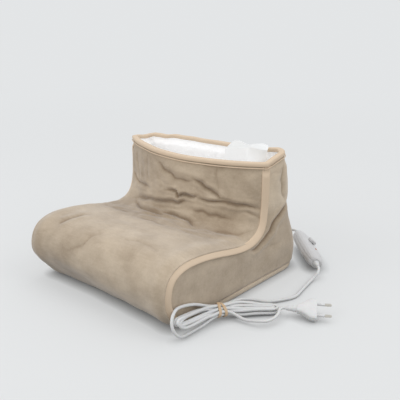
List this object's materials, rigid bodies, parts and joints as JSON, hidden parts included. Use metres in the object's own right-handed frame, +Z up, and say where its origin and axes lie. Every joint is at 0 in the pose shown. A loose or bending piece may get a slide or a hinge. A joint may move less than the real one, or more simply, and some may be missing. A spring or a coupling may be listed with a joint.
{
  "type": "electric foot warmer",
  "caption": "Plush-lined fabric boot for both feet with a heating pad in its sole, a corded hand controller with a sliding heat knob, and a tied mains cord with a two-pin plug.",
  "frame": {"origin": "on the floor, under the middle of the boot", "axes": "+Y from the toe to the heel, +X towards the side where the controller and the tied cord lie, +Z up"},
  "size_m": [0.4151, 0.3922, 0.1994],
  "materials": {
    "suede": "matte, brushed microfibre",
    "cream_tape": "matte woven bias tape",
    "plush": "deep short pile",
    "label_tape": "smooth satin tape",
    "foam": "open-cell foam sheet",
    "felt": "needled felt",
    "heating_wire": "insulated resistance wire",
    "white_plastic": "satin",
    "metal": "nickel plated",
    "white_vinyl": "soft vinyl",
    "circuit_board": "solder mask",
    "switch_black": "matte",
    "lamp_lens": "clear tinted",
    "band_rubber": "matte"
  },
  "bodies": {
    "foot_warmer": {"back_panel": "suede", "care_label": "label_tape", "controller_board": "circuit_board", "controller_lower_shell": "white_plastic", "controller_relief_lead": "white_vinyl", "controller_relief_mains": "white_vinyl", "controller_screw_1": "metal", "controller_screw_2": "metal", "controller_upper_shell": "white_plastic", "cord_gland": "white_vinyl", "hank_band": "band_rubber", "heat_switch": "switch_black", "heating_felt": "felt", "heating_wire": "heating_wire", "indicator_lamp": "lamp_lens", "lead_cord_coil": "white_vinyl", "lead_cord_from_boot": "white_vinyl", "lead_cord_to_controller": "white_vinyl", "lead_inner_end": "white_vinyl", "lining_back": "plush", "lining_side_left": "plush", "lining_side_right": "plush", "lining_sole": "plush", "lining_top": "plush", "mains_cord_hank": "white_vinyl", "mains_cord_run": "white_vinyl", "mains_cord_tail": "white_vinyl", "overheat_thermostat": "white_plastic", "pin_sleeve_1": "white_vinyl", "pin_sleeve_2": "white_vinyl", "plug_body": "white_vinyl", "plug_pin_1": "metal", "plug_pin_2": "metal", "plug_relief": "white_vinyl", "rim_binding": "cream_tape", "rim_piping": "cream_tape", "side_binding_left": "cream_tape", "side_binding_right": "cream_tape", "side_panel_left": "suede", "side_panel_right": "suede", "sole_foam": "foam", "sole_outer": "suede", "thermal_fuse": "metal", "top_panel": "suede", "wire_joint_block": "white_plastic"},
    "knob": {"heat_knob": "white_plastic"}
  },
  "joints": [
    {"name": "heat_slide", "type": "slide", "parent": "foot_warmer", "child": "knob", "axis": [-0.7429, 0.6678, 0.0459], "range_m": [-0.009, 0.009]}
  ]
}
